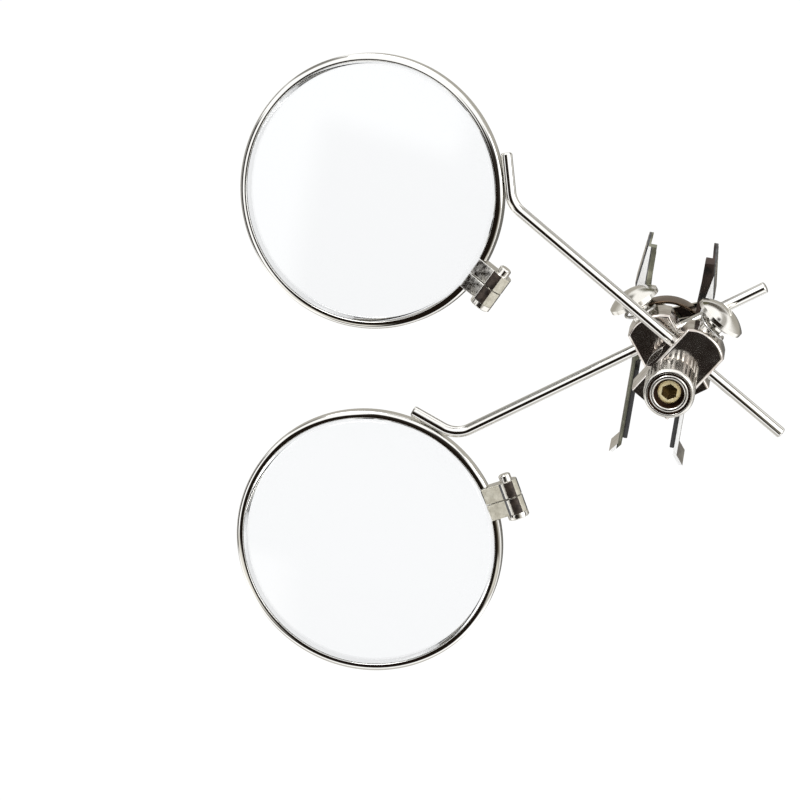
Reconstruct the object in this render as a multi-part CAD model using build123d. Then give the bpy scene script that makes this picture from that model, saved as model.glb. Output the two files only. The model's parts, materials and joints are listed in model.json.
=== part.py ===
"""Clip-on double eyeglass loupe, in millimetres.

The origin is the middle of the clip's grip. +Z is up along the clip's handles, +X is to the
right and +Y is to the back, into the depth of the grip, so the lenses face -Y.
Two lens arms are held in two holders that turn on one stud. The front holder carries the
lens that stands higher, and the rear holder the one that hangs lower.
"""

import math
import os

from build123d import *

os.makedirs("parts", exist_ok=True)

# Lens and rim
opening_diameter = 25.0
rim_wall = 0.7
rim_depth = 1.4
rim_round = 0.4
groove_depth = 0.35
groove_width = 0.9
lens_crown = 0.9
lens_fit = 0.05

# Lugs and screw that close the rim
lug_width = 1.6
lug_split = 0.1
lug_height = 1.6
lug_reach = 2.85
barrel_diameter = 2.1
rim_screw_diameter = 1.2
rim_screw_fit = 0.03
rim_screw_tip = 0.7
screw_head_diameter = 2.1
screw_head_height = 0.55
screw_slot_width = 0.28
screw_slot_depth = 0.25

# Arm wire, which is bent where it leaves the rim
wire_diameter = 1.1
wire_fit = 0.05
hook_touch_angle = 10.0
hook_end_angle = 20.1
hook_bend = 2.8
hook_leg = 2.4
braze_diameter = 1.6
tail_round = 0.2

# Wire holder: a sheet box, open at the back and at its square end
sheet = 0.4
holder_width = 4.6
holder_depth = 3.2
holder_tail = 3.1
holder_shoulder = 5.0
holder_apex = 5.9
fold_round = 0.3

# Release button and its spring
button_diameter = 5.0
button_rim = 0.4
button_dome = 1.35
button_cup_depth = 0.5
button_cup_diameter = 3.9
button_gap = 1.4
button_shift = 0.4
button_travel = 0.6
stem_diameter = 1.9
stem_fit = 0.05
stem_foot = 0.3
spring_diameter = 3.15
spring_wire = 0.33
spring_pitch = 0.8
spring_fit = 0.03

# Pivot: stud, knurled nut, and the spacer behind each holder
stud_diameter = 2.2
stud_fit = 0.05
washer_diameter = 5.2
washer_thickness = 0.3
spacer_thickness = 1.5
nut_diameter = 4.9
nut_height = 3.8
nut_fit = 0.05
nut_cup_diameter = 2.9
nut_cup_depth = 0.7
nut_ring_diameter = 4.1
nut_ring_width = 0.2
nut_round = 0.35
nut_chamfer = 0.12
knurl_count = 30
knurl_depth = 0.14
socket_across_flats = 1.4
socket_depth = 1.2

# Clip: two levers on one pin
grip_gap = 4.2
pad_thickness = 0.45
pad_height = 7.2
pad_margin = 0.25
lever_sheet = 0.4
lever_depth = 4.8
lever_fit = 0.05
lever_round = 0.35
jaw_drop = 4.4
jaw_top = 4.0
hinge_height = 7.8
hinge_diameter = 1.2
hinge_fit = 0.03
hinge_head_diameter = 2.0
hinge_head_height = 0.35
ear_diameter = 2.3
boss_diameter = 3.4
stud_offset = 1.15
stud_height = 5.6
handle_root_height = 12.0
handle_root_width = 1.5
handle_root_reach = 3.9
handle_tip_height = 16.7
handle_end_radius = 2.8
handle_tip_reach = 3.35
cheek_top_height = 16.1
back_cheek_drop = 1.7
cheek_top_width = 1.0
cheek_waist_height = 9.9
cheek_waist_reach = 2.3
shoulder_height = 8.5
shoulder_reach = 3.3
lip_height = 0.9
lip_flare = 0.7
tooth_count = 4
tooth_pitch = 0.55
tooth_depth = 0.16
bow_width = 2.0
bow_thickness = 0.28
bow_arch_height = 10.4
bow_arch_radius = 4.0
bow_arch_half_angle = 36.0
bow_fit = 0.03

# One overrun for every cut
over = 1.0

# How each arm stands: wire angle above +X, offset of the wire from the stud, reach from holder
# to bend, length from bend to tail, angle of the bend round the rim and of the lugs from
# there, and how far the lens turns left and nods up
arms = {
    "front": {
        "wire": -31.7, "offset": 2.7, "reach": 22.58, "length": 34.16,
        "bend": 6.1, "lug": -32.9, "turn": 13.7, "nod": 8.8,
    },
    "rear": {
        "wire": 36.85, "offset": 3.05, "reach": 22.21, "length": 33.71,
        "bend": 61.0, "lug": -31.9, "turn": 5.2, "nod": 2.6,
    },
}

opening_radius = opening_diameter / 2
rim_radius = opening_radius + rim_wall
wire_radius = wire_diameter / 2
touch_radius = rim_radius + wire_radius
clip_front = -lever_depth / 2
behind = {"front": washer_thickness, "rear": spacer_thickness}
rear_face = clip_front - spacer_thickness - holder_depth
face_depth = {"front": rear_face - washer_thickness - holder_depth, "rear": rear_face}
stem_depth = (sheet + holder_depth) / 2


def save(shape, node):
    """Writes one node, after checking that each of its solids is sound."""
    solids = shape.solids()
    assert solids and all(solid.is_valid for solid in solids), node
    export_step(Compound(solids) if len(solids) > 1 else solids[0], f"parts/{node}.step")
    print(node, len(solids), "solids", round(sum(solid.volume for solid in solids), 4), "mm3")


def plate(sketch, y_front, y_back):
    """A sketch in X and Z made solid between two depths."""
    return extrude(Plane.XZ.offset(-y_back) * sketch, y_back - y_front)


def rod_y(radius, x, z, y_front, y_back):
    """A round bar along Y."""
    return plate(Pos(x, z) * Circle(radius), y_front, y_back)


def turned(points):
    """A solid of revolution about local Z, from a closed outline of radius and height."""
    return revolve(Plane.XZ * make_face(Polyline(points, close=True)), Axis.Z)


def lens_space():
    """The room inside the rim, with the groove that takes the lens edge."""
    half = groove_width / 2
    tall = rim_depth + over
    return turned([
        (0, -tall), (opening_radius, -tall), (opening_radius, -half), (opening_radius + groove_depth, 0),
        (opening_radius, half), (opening_radius, tall), (0, tall),
    ])


def make_lens():
    """A lens of equal crowns, whose bevelled edge sits in the groove."""
    edge = opening_radius - lens_fit
    half = groove_width / 2 - lens_fit
    tip = opening_radius + groove_depth - lens_fit
    top = half + lens_crown
    crown_radius = (edge**2 + lens_crown**2) / (2 * lens_crown)
    front = RadiusArc((0, top), (edge, half), -crown_radius)
    if front.bounding_box().max.Y > top + lens_fit:
        front = RadiusArc((0, top), (edge, half), crown_radius)
    bevel = Polyline((edge, half), (tip, 0), (edge, -half))
    back = mirror(front, Plane.XZ)
    axis_line = Line((0, -top), (0, top))
    outline = make_face(Wire([front.edge(), *bevel.edges(), back.edge(), axis_line.edge()]))
    return revolve(Plane.XZ * outline, Axis.Z)


def lug_sector(width, height, reach):
    """A block across the split of the rim, in the lug's own frame with X outwards."""
    block = Box(reach, width, height, align=(Align.MIN, Align.CENTER, Align.CENTER))
    return Pos(opening_radius - over, 0, 0) * block


def make_rim(angle):
    """The grooved ring, rounded outside, with room for the lugs at its split."""
    ring = Cylinder(rim_radius, rim_depth)
    ring = fillet(ring.edges().filter_by(GeomType.CIRCLE), rim_round)
    ring -= lens_space()
    gap = lug_sector(2 * lug_width + lug_split, rim_depth + over, rim_wall + 2 * over)
    return ring - Rot(0, 0, angle) * gap


def screw_reach():
    """Distance from the lens centre to the axis of the rim screw."""
    return opening_radius + rim_wall + lug_reach - barrel_diameter / 2


def make_lug(side, angle):
    """One half of the closing block: a flat tongue on the rim and a barrel for the screw."""
    reach = screw_reach()
    tongue = Pos((opening_radius + reach) / 2, 0) * Rectangle(reach - opening_radius, lug_height)
    outline = tongue + Pos(reach, 0) * Circle(barrel_diameter / 2)
    bore = rim_screw_diameter / 2 + (rim_screw_fit if side < 0 else 0)
    outline -= Pos(reach, 0) * Circle(bore)
    near = lug_split / 2
    lug = extrude(Plane.XZ.offset(-near) * outline, -lug_width)
    if side < 0:
        lug = mirror(lug, Plane.XZ)
    return Rot(0, 0, angle) * lug - lens_space()


def make_rim_screw(angle):
    """Cheese head screw along the rim's tangent, with its tip standing proud."""
    seat = -(lug_split / 2 + lug_width)
    tip = lug_split / 2 + lug_width + rim_screw_tip
    shank = extrude(Plane.XZ.offset(-seat) * Circle(rim_screw_diameter / 2), -(tip - seat))
    head = extrude(Plane.XZ.offset(-seat) * Circle(screw_head_diameter / 2), screw_head_height)
    head = fillet(head.edges().sort_by(Axis.Y)[0], screw_slot_depth / 2)
    slot = Box(screw_head_diameter + over, 2 * screw_slot_depth, screw_slot_width)
    screw = shank + head - Pos(0, seat - screw_head_height, 0) * slot
    screw = chamfer(screw.edges().sort_by(Axis.Y)[-1], screw_slot_depth / 2)
    return Rot(0, 0, angle) * Pos(screw_reach(), 0, 0) * screw


def holder_plane(arm):
    """Frame of a holder: X along its wire to the tail, Y to its button, Z to the front."""
    angle = math.radians(arms[arm]["wire"])
    return Plane(
        origin=(stud_offset, face_depth[arm], stud_height),
        x_dir=(math.cos(angle), 0, math.sin(angle)),
        z_dir=(0, -1, 0),
    )


def bend_point(arm):
    """Where the wire's straight run would meet its bent end."""
    plane = holder_plane(arm)
    along = plane.y_dir * arms[arm]["offset"] - plane.x_dir * arms[arm]["reach"]
    return plane.origin + along - plane.z_dir * stem_depth


def ring_plane(arm):
    """Frame of a rim: X from the lens centre to the wire's bend, Z out of the front."""
    turn = math.radians(arms[arm]["turn"])
    nod = math.radians(arms[arm]["nod"])
    facing = Vector(-math.sin(turn) * math.cos(nod), -math.cos(turn) * math.cos(nod), math.sin(nod))
    level = Plane(origin=bend_point(arm), x_dir=(1, 0, 0), z_dir=facing)
    bend = math.radians(arms[arm]["bend"])
    outward = level.x_dir * math.cos(bend) + level.y_dir * math.sin(bend)
    centre = level.origin - outward * (touch_radius / math.cos(math.radians(hook_touch_angle)))
    return Plane(origin=centre, x_dir=outward, z_dir=facing)


def make_hook(arm, rim):
    """The wire's bent end: a stub brazed along the rim, a bend, and the start of the long run."""
    plane = ring_plane(arm)
    bend = bend_point(arm)
    touch = math.radians(hook_touch_angle)
    stub = plane.y_dir * math.cos(touch) - plane.x_dir * math.sin(touch)
    to_touch = touch_radius * math.tan(touch)
    to_end = to_touch + touch_radius * math.tan(math.radians(hook_end_angle) - touch)
    leg = holder_plane(arm).x_dir
    trim = hook_bend / math.tan(math.radians(stub.get_angle(leg)) / 2)
    bend_arc = TangentArc(bend + stub * trim, bend + leg * trim, tangent=-stub)
    run_in = Line(bend + stub * to_end, bend + stub * trim)
    run_out = Line(bend + leg * trim, bend + leg * hook_leg)
    path = Wire([run_in.edge(), bend_arc.edge(), run_out.edge()])
    hook = sweep(Plane(origin=path @ 0, z_dir=path % 0) * Circle(wire_radius), path)
    inwards = (plane.origin - bend - stub * to_touch).normalized()
    bead = bend + stub * to_touch + inwards * wire_radius
    return hook + Pos(*bead) * Sphere(braze_diameter / 2) - rim - plane.location * lens_space()


def make_rod(arm):
    """The straight run of the arm wire, from the bent end to the tail."""
    start = hook_leg - arms[arm]["reach"]
    length = arms[arm]["length"] - hook_leg
    rod = Cylinder(wire_radius, length, align=(Align.CENTER, Align.CENTER, Align.MIN))
    rod = fillet(rod.edges().sort_by(Axis.Z)[-1], tail_round)
    return Pos(start, arms[arm]["offset"], -stem_depth) * Rot(0, 90, 0) * rod


def holder_outline(inset, tail):
    """Plan of the holder: a square end, straight sides and one arc round the button's end."""
    half = holder_width / 2 - inset
    rise = holder_apex - holder_shoulder
    radius = ((holder_width / 2) ** 2 + rise**2) / (2 * rise) - inset
    centre = holder_apex - inset - radius
    shoulder = centre + math.sqrt(radius**2 - half**2)
    top = ThreePointArc((half, shoulder), (0, holder_apex - inset), (-half, shoulder))
    sides = Polyline((-half, shoulder), (-half, -tail), (half, -tail), (half, shoulder))
    return make_face(Wire([top.edge(), *sides.edges()]))


def make_holder(arm):
    """Sheet box round the wire and the button's stem, in the holder's own frame."""
    body = extrude(holder_outline(0, holder_tail), -holder_depth)
    front_edges = body.edges().group_by(Axis.Z)[-1]
    body = fillet(front_edges.sort_by(Axis.Y)[1:], fold_round)
    body -= Pos(0, 0, -sheet) * extrude(holder_outline(sheet, holder_tail + over), -holder_depth)
    body -= Cylinder(stud_diameter / 2 + stud_fit, 2 * over)
    wire_hole = Rot(0, 90, 0) * Cylinder(wire_radius + wire_fit, holder_width + over)
    body -= Pos(0, arms[arm]["offset"], -stem_depth) * wire_hole
    stem_hole = Rot(90, 0, 0) * Cylinder(stem_diameter / 2 + stem_fit, 2 * over)
    return body - Pos(-button_shift, holder_apex, -stem_depth) * stem_hole


def button_seat():
    """Height of the button's underside above the stud's axis."""
    return holder_apex + button_gap


def make_button(arm):
    """Mushroom head and stem turned in one, with the slot that the wire runs through."""
    seat = button_seat()
    head = button_diameter / 2
    stem = stem_diameter / 2
    cup = button_cup_diameter / 2
    slot_radius = wire_radius + wire_fit
    foot = arms[arm]["offset"] - slot_radius - stem_foot
    roof = seat + button_cup_depth
    under = Polyline((0, foot), (stem, foot), (stem, roof), (cup, roof), (cup, seat), (head, seat), (head, seat + button_rim))
    crown = seat + button_dome
    dome_radius = (head**2 + (button_dome - button_rim) ** 2) / (2 * (button_dome - button_rim))
    middle = head / 2
    middle_rise = crown - dome_radius + math.sqrt(dome_radius**2 - middle**2)
    dome = ThreePointArc((head, seat + button_rim), (middle, middle_rise), (0, crown))
    axis_line = Line((0, crown), (0, foot))
    outline = make_face(Wire([*under.edges(), dome.edge(), axis_line.edge()]))
    button = revolve(outline, Axis.Y)
    slot = SlotCenterToCenter(button_travel, 2 * slot_radius, rotation=90)
    cut = Plane.YZ * Pos(arms[arm]["offset"] + button_travel / 2, 0) * Rot(0, 0, 90) * slot
    button -= extrude(cut, holder_width, both=True)
    return Pos(-button_shift, 0, -stem_depth) * button


def biarc(start, start_dir, end, end_dir):
    """Two arcs that join two points of a curve and keep its direction at both."""
    chord = end - start
    total = start_dir + end_dir
    twice = 2 * (1 - start_dir.dot(end_dir))
    reach = (-chord.dot(total) + math.sqrt(chord.dot(total) ** 2 + twice * chord.dot(chord))) / twice
    joint = (start + end + (start_dir - end_dir) * reach) * 0.5
    joint_dir = (end - end_dir * reach - start - start_dir * reach).normalized()
    return [TangentArc(start, joint, tangent=start_dir), TangentArc(joint, end, tangent=joint_dir)]


def spring_turns():
    """Turns that fit between the holder's round end and the roof of the button's cup."""
    room = button_gap + button_cup_depth - spring_wire - 2 * spring_fit
    return room / spring_pitch


def spring_point(turns):
    """A point of the spring's helix about local Y, and the helix's direction there."""
    radius = (spring_diameter - spring_wire) / 2
    angle = 2 * math.pi * turns
    height = holder_apex + spring_fit + spring_wire / 2 + spring_pitch * turns
    rise = spring_pitch / (2 * math.pi)
    point = Vector(radius * math.cos(angle) - button_shift, height, radius * math.sin(angle) - stem_depth)
    return point, Vector(-radius * math.sin(angle), rise, radius * math.cos(angle)).normalized()


def make_spring():
    """The button's coil spring as one tube, with a straight end one wire thick at each side."""
    turns = spring_turns()
    spans = math.ceil(4 * turns)
    places = [spring_point(turns * index / spans) for index in range(spans + 1)]
    first, first_dir = places[0]
    last, last_dir = places[-1]
    edges = [Line(first - first_dir * spring_wire, first)]
    for (start, start_dir), (end, end_dir) in zip(places, places[1:]):
        edges += biarc(start, start_dir, end, end_dir)
    edges.append(Line(last, last + last_dir * spring_wire))
    path = Wire([edge.edge() for edge in edges])
    profile = Plane(origin=path @ 0, z_dir=path % 0) * Circle(spring_wire / 2)
    return sweep(profile, path), path


def least_gap(path):
    """Least gap of a tube to itself, measured on points at least half a turn apart."""
    count = 400
    points = [path @ (index / count) for index in range(count + 1)]
    half_turn = math.pi * (spring_diameter - spring_wire) / 2
    apart = math.ceil(half_turn / path.length * count)
    gaps = [
        (points[first] - points[second]).length
        for first in range(count + 1)
        for second in range(first + apart, count + 1)
    ]
    return min(gaps) - spring_wire


def make_stud():
    """Brass stud riveted flush in the fixed lever, with a hexagon socket in its front end."""
    front = face_depth["front"] - nut_height + nut_cup_depth
    stud = rod_y(stud_diameter / 2, stud_offset, stud_height, front, clip_front + lever_sheet)
    hexagon = RegularPolygon(socket_across_flats / 2, 6, major_radius=False, rotation=30)
    socket = plate(Pos(stud_offset, stud_height) * hexagon, front - over, front + socket_depth)
    rim_edge = stud.edges().filter_by(GeomType.CIRCLE).sort_by(Axis.Y)[0]
    return chamfer(rim_edge, nut_chamfer) - socket


def make_nut():
    """Knurled nut, cupped at the front, with a fine ring turned in its face."""
    back = face_depth["front"] - nut_fit
    front = face_depth["front"] - nut_height
    nut = rod_y(nut_diameter / 2, 0, 0, front, back)
    rim_edge = nut.edges().filter_by(GeomType.CIRCLE).sort_by(Axis.Y)[0]
    nut = fillet(rim_edge, nut_round)
    nut -= rod_y(nut_cup_diameter / 2, 0, 0, front - over, front + nut_cup_depth)
    cup_edge = nut.edges().filter_by(GeomType.CIRCLE).group_by(Axis.Y)[0].sort_by(SortBy.LENGTH)[0]
    nut = chamfer(cup_edge, nut_chamfer)
    nut -= rod_y(stud_diameter / 2 + stud_fit / 2, 0, 0, front, back + over)
    ring = rod_y(nut_ring_diameter / 2, 0, 0, front - over, front + nut_ring_width)
    nut -= ring - rod_y(nut_ring_diameter / 2 - nut_ring_width, 0, 0, front - 2 * over, back)
    flutes = Sketch()
    for index in range(knurl_count):
        angle = 360 * index / knurl_count
        flutes += Rot(0, 0, angle) * Pos(nut_diameter / 2, 0) * Rot(0, 0, 45) * Rectangle(knurl_depth, knurl_depth)
    nut -= plate(flutes, front - over, back + over)
    return Pos(stud_offset, 0, stud_height) * nut


def make_spacer(arm):
    """Ring on the stud behind one holder."""
    front = face_depth[arm] + holder_depth
    back = front + behind[arm]
    ring = rod_y(washer_diameter / 2, stud_offset, stud_height, front, back)
    return ring - rod_y(stud_diameter / 2 + stud_fit / 2, stud_offset, stud_height, front - over, back + over)


def lever_line(inset):
    """Outer line of a lever's web on the +X side, from the jaw's lip up to the handle's tip."""
    jaw = grip_gap / 2 + pad_thickness + lever_sheet
    return [
        (jaw + lip_flare - inset, -jaw_drop - lip_height),
        (jaw - inset, -jaw_drop),
        (jaw - inset, jaw_top),
        (shoulder_reach - inset, shoulder_height),
        (handle_root_reach - inset, handle_root_height),
        (handle_tip_reach - inset, handle_tip_height),
    ]


def is_handle_fold(edge, outer, depth):
    """Whether an edge of the lever lies where its web folds into a cheek, above the shoulder."""
    middle = edge @ 0.5
    on_face = abs(abs(middle.Y) - depth / 2) < lever_fit
    for low, high in zip(outer[3:], outer[4:]):
        share = (middle.Z - low[1]) / (high[1] - low[1])
        reach = low[0] + share * (high[0] - low[0])
        if on_face and 0 < share < 1 and abs(middle.X - reach) < lever_fit:
            return True
    return False


def make_lever(depth, with_boss):
    """A stamped lever on the +X side: web, two cheeks with ears, and a tapered handle."""
    front = -depth / 2
    back = depth / 2
    outer = lever_line(0)
    web = make_face(Polyline(*outer, *reversed(lever_line(lever_sheet)), close=True))
    lever = plate(web, front, back)
    ear = Pos(0, hinge_height) * Circle(ear_diameter / 2)
    handle_root = (handle_root_reach - handle_root_width, handle_root_height)
    tip_slope = (handle_root_reach - handle_tip_reach) / (handle_tip_height - handle_root_height)
    cheek_reach = handle_root_reach - tip_slope * (cheek_top_height - handle_root_height)
    cheek_top = [(cheek_reach, cheek_top_height), (cheek_reach - cheek_top_width, cheek_top_height)]
    ear_top = (0, hinge_height + ear_diameter / 2)
    ear_foot = (0, hinge_height - ear_diameter / 2)
    low = (outer[2][0], stud_height - boss_diameter / 2)
    waist = (cheek_waist_reach, cheek_waist_height)
    outline = Polyline(low, *outer[3:5], *cheek_top, handle_root, waist, ear_top, ear_foot, close=True)
    cheek = make_face(outline) + ear
    back_cheek = cheek - Pos(0, cheek_top_height) * Rectangle(4 * handle_root_reach, 2 * back_cheek_drop)
    if with_boss:
        cheek += Pos(stud_offset, stud_height) * Circle(boss_diameter / 2)
    lever += plate(cheek, front, front + lever_sheet)
    lever += plate(back_cheek, back - lever_sheet, back)
    bore = hinge_diameter / 2 + hinge_fit
    lever -= rod_y(bore, 0, hinge_height, front - over, back + over)
    folds = [edge for edge in lever.edges() if is_handle_fold(edge, outer, depth)]
    lever = fillet(folds, lever_round)
    end_centre = Pos(0, 0, handle_tip_height - handle_end_radius)
    end_room = Box(2 * handle_root_reach, 2 * handle_end_radius, 2 * handle_end_radius)
    end_room = Pos(handle_root_reach, 0, handle_end_radius) * end_room
    lever -= end_centre * (end_room - Rot(0, 90, 0) * Cylinder(handle_end_radius, 4 * handle_root_reach))
    for index in range(tooth_count):
        height = handle_tip_height - tooth_pitch * (index + 1)
        reach = handle_tip_reach + tip_slope * (handle_tip_height - height)
        notch = Pos(reach, height) * Rot(0, 0, 45) * Rectangle(tooth_depth, tooth_depth)
        lever -= plate(notch, front - over, back + over)
    if with_boss:
        lever -= rod_y(stud_diameter / 2, stud_offset, stud_height, front - over, front + over)
    return lever


def make_pad(depth):
    """Pad on the inner face of a jaw on the +X side."""
    inner = grip_gap / 2
    pad = Box(pad_thickness, depth - 2 * pad_margin, pad_height, align=(Align.MIN, Align.CENTER, Align.CENTER))
    return Pos(inner, 0, (jaw_top - jaw_drop) / 2) * pad


def make_bow():
    """Bow spring that holds the handles apart: an arch with two straight legs."""
    half = math.radians(bow_arch_half_angle)
    centre = bow_arch_height - bow_arch_radius
    knee = (bow_arch_radius * math.sin(half), centre + bow_arch_radius * math.cos(half))
    slope = (handle_root_reach - shoulder_reach) / (handle_root_height - shoulder_height)
    wall = shoulder_reach - lever_sheet - bow_fit - bow_thickness / 2
    fall = math.tan(half)
    foot_x = (wall + slope * (knee[1] + knee[0] * fall - shoulder_height)) / (1 + slope * fall)
    foot = (foot_x, knee[1] - (foot_x - knee[0]) * fall)
    arch = ThreePointArc((-knee[0], knee[1]), (0, bow_arch_height), knee)
    legs = [Line((-foot[0], foot[1]), (-knee[0], knee[1])), Line(knee, foot)]
    path = Plane.XZ * Wire([legs[0].edge(), arch.edge(), legs[1].edge()])
    strip = Plane(origin=path @ 0, x_dir=(0, 1, 0), z_dir=path % 0) * Rectangle(bow_width, bow_thickness)
    return sweep(strip, path)


def make_hinge_pin():
    """Pin of the clip: flush at the front, with a rounded head at the back."""
    back = lever_depth / 2
    pin = rod_y(hinge_diameter / 2, 0, hinge_height, clip_front, back + hinge_head_height)
    head = rod_y(hinge_head_diameter / 2, 0, hinge_height, back, back + hinge_head_height)
    rim_edge = head.edges().filter_by(GeomType.CIRCLE).sort_by(Axis.Y)[-1]
    return pin + fillet(rim_edge, hinge_head_height / 2)


lens = make_lens()
spring, spring_path = make_spring()
print("button spring turns", round(spring_turns(), 2), "least gap to itself", round(least_gap(spring_path), 3), "mm")

for arm in arms:
    ring_place = ring_plane(arm).location
    holder_place = holder_plane(arm).location
    lug_angle = arms[arm]["lug"]
    placed_rim = ring_place * make_rim(lug_angle)
    save(ring_place * lens, f"{arm}_lens")
    save(placed_rim, f"{arm}_rim")
    save(ring_place * make_lug(-1, lug_angle), f"{arm}_rim_lug_plain")
    save(ring_place * make_lug(1, lug_angle), f"{arm}_rim_lug_tapped")
    save(ring_place * make_rim_screw(lug_angle), f"{arm}_rim_screw")
    save(make_hook(arm, placed_rim), f"{arm}_arm_hook")
    save(holder_place * make_rod(arm), f"{arm}_arm_rod")
    save(holder_place * make_holder(arm), f"{arm}_wire_holder")
    save(holder_place * make_button(arm), f"{arm}_release_button")
    save(holder_place * spring, f"{arm}_button_spring")
    save(make_spacer(arm), f"{arm}_spacer")

inner_depth = lever_depth - 2 * (lever_sheet + lever_fit)
save(make_stud(), "pivot_stud")
save(make_nut(), "knurled_nut")
save(make_lever(lever_depth, True), "clip_fixed_lever")
save(mirror(make_lever(inner_depth, False), Plane.YZ), "clip_moving_lever")
save(make_pad(lever_depth), "fixed_jaw_pad")
save(mirror(make_pad(inner_depth), Plane.YZ), "moving_jaw_pad")
save(make_hinge_pin(), "clip_hinge_pin")
save(make_bow(), "clip_bow_spring")

for arm in arms:
    centre = ring_plane(arm).origin
    print(arm, "lens centre", [round(value, 2) for value in centre], "bend", [round(value, 2) for value in bend_point(arm)])
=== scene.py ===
# %% [markdown]
# # A clip-on double loupe
# Two small round magnifiers hang on bent wires. Each wire runs through a folded sheet holder
# that pinches it until a button is pressed, and both holders turn on one stud with a knurled
# nut. A sprung clip at the back holds the stud. This file dresses the exact CAD pieces: it
# loads them, gives each one its metal, glass or rubber, and rebuilds the pieces whose polish
# needs a finer surface than the CAD mesh has.

# %% Load the exact model
import json
import math

import bmesh
import bpy
import numpy as np
from mathutils import Matrix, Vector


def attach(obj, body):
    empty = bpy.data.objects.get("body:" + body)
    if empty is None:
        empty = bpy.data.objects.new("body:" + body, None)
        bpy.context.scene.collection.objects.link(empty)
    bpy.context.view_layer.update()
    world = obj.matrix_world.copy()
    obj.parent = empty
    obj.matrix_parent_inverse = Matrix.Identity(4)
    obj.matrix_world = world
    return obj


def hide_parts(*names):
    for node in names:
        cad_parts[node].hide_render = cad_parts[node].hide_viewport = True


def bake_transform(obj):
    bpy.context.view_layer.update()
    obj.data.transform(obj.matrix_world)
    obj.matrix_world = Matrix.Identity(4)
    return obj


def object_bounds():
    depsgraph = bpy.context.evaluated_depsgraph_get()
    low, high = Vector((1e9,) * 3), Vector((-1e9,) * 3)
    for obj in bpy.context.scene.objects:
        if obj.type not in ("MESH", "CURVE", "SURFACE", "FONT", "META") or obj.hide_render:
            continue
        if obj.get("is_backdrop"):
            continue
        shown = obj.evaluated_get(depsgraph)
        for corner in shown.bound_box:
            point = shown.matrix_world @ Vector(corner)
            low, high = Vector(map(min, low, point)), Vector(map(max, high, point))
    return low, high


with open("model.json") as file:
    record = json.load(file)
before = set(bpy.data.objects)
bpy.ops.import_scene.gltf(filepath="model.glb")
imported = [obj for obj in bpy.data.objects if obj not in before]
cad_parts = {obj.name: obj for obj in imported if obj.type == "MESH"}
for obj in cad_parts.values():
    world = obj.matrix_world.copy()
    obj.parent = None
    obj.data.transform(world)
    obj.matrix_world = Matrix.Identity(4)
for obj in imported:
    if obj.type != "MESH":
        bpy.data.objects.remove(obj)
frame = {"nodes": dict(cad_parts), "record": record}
cad_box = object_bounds()
MM = 0.001

# %% [markdown]
# The photograph was taken from far away and a little above, with the clip leaning to the
# right. A long lens at half a metre gives the same flat perspective. Azimuth, elevation and
# roll are turned into the camera's three axes: right, up and back.

# %% Camera
AZIMUTH, ELEVATION, ROLL = np.radians([3.0, 18.7, 9.0])
AIM = np.array([-23.943, -13.755, 0.172]) * MM
DISTANCE = 0.5
PIXELS_PER_MM, PICTURE_WIDTH = 10.5, 800

back = np.array([math.sin(AZIMUTH), -math.cos(AZIMUTH), 0.0]) * math.cos(ELEVATION)
back[2] = math.sin(ELEVATION)
level = np.array([math.cos(AZIMUTH), math.sin(AZIMUTH), 0.0])
upright = np.cross(back, level)
right = level * math.cos(ROLL) + upright * math.sin(ROLL)
up = upright * math.cos(ROLL) - level * math.sin(ROLL)

lens_data = bpy.data.cameras.new("camera")
lens_data.sensor_width = 36.0
lens_data.lens = PIXELS_PER_MM * DISTANCE / MM / PICTURE_WIDTH * lens_data.sensor_width
lens_data.clip_start = 0.01
camera = bpy.data.objects.new("camera", lens_data)
bpy.context.scene.collection.objects.link(camera)
place = np.eye(4)
place[:3, 0], place[:3, 1], place[:3, 2], place[:3, 3] = right, up, back, AIM + back * DISTANCE
camera.matrix_world = Matrix(place.tolist())
bpy.context.scene.camera = camera
print("lens", round(lens_data.lens, 2), "mm")

# %% [markdown]
# ## Light
# Polished metal shows little of its own colour: what you see is the room. A product studio
# is white at the sides and above and dark where the camera stands, which is why bright wire
# has a thin dark line down its middle. The world is plain white for the camera, for glass
# and for soft light. Only reflections see the zones: walls, doors, cards and the camera
# itself, painted over the white room in their order.
#
# A zone is a name, a range of azimuth in radians, a range of height and a colour. Azimuth is
# 0 towards the camera and grows to the right, height is the Z of the mirror direction, and
# the third number of each range says how softly both of its ends fade.

# %% World
scene = bpy.context.scene
scene.view_settings.view_transform = "Standard"


def add(tree, kind, **settings):
    """Adds a node and sets its plain properties and, by name, its input values."""
    node = tree.nodes.new(kind)
    for key, value in settings.items():
        if key in node.inputs:
            node.inputs[key].default_value = value
        else:
            setattr(node, key, value)
    return node


def measure(tree, operation, first, second=None):
    """One step of arithmetic on sockets or plain numbers."""
    node = add(tree, "ShaderNodeMath", operation=operation)
    for index, value in enumerate((first, second)):
        if isinstance(value, (int, float)):
            node.inputs[index].default_value = value
        elif value is not None:
            tree.links.new(value, node.inputs[index])
    return node.outputs[0]


world = bpy.data.worlds.new("studio")
scene.world = world
world.use_nodes = True
tree = world.node_tree
tree.nodes.clear()
way = add(tree, "ShaderNodeTexCoord").outputs["Generated"]
split = add(tree, "ShaderNodeSeparateXYZ")
tree.links.new(way, split.inputs[0])


def band(value, low, high, soft):
    """A mask that is 1 between low and high and fades over soft on both sides."""
    steps = []
    for limit in (low, high):
        step = add(tree, "ShaderNodeMapRange", interpolation_type="SMOOTHSTEP")
        step.inputs["From Min"].default_value = limit - soft
        step.inputs["From Max"].default_value = limit + soft
        tree.links.new(value, step.inputs["Value"])
        steps.append(step.outputs[0])
    return measure(tree, "MULTIPLY", steps[0], measure(tree, "SUBTRACT", 1.0, steps[1]))


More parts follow.
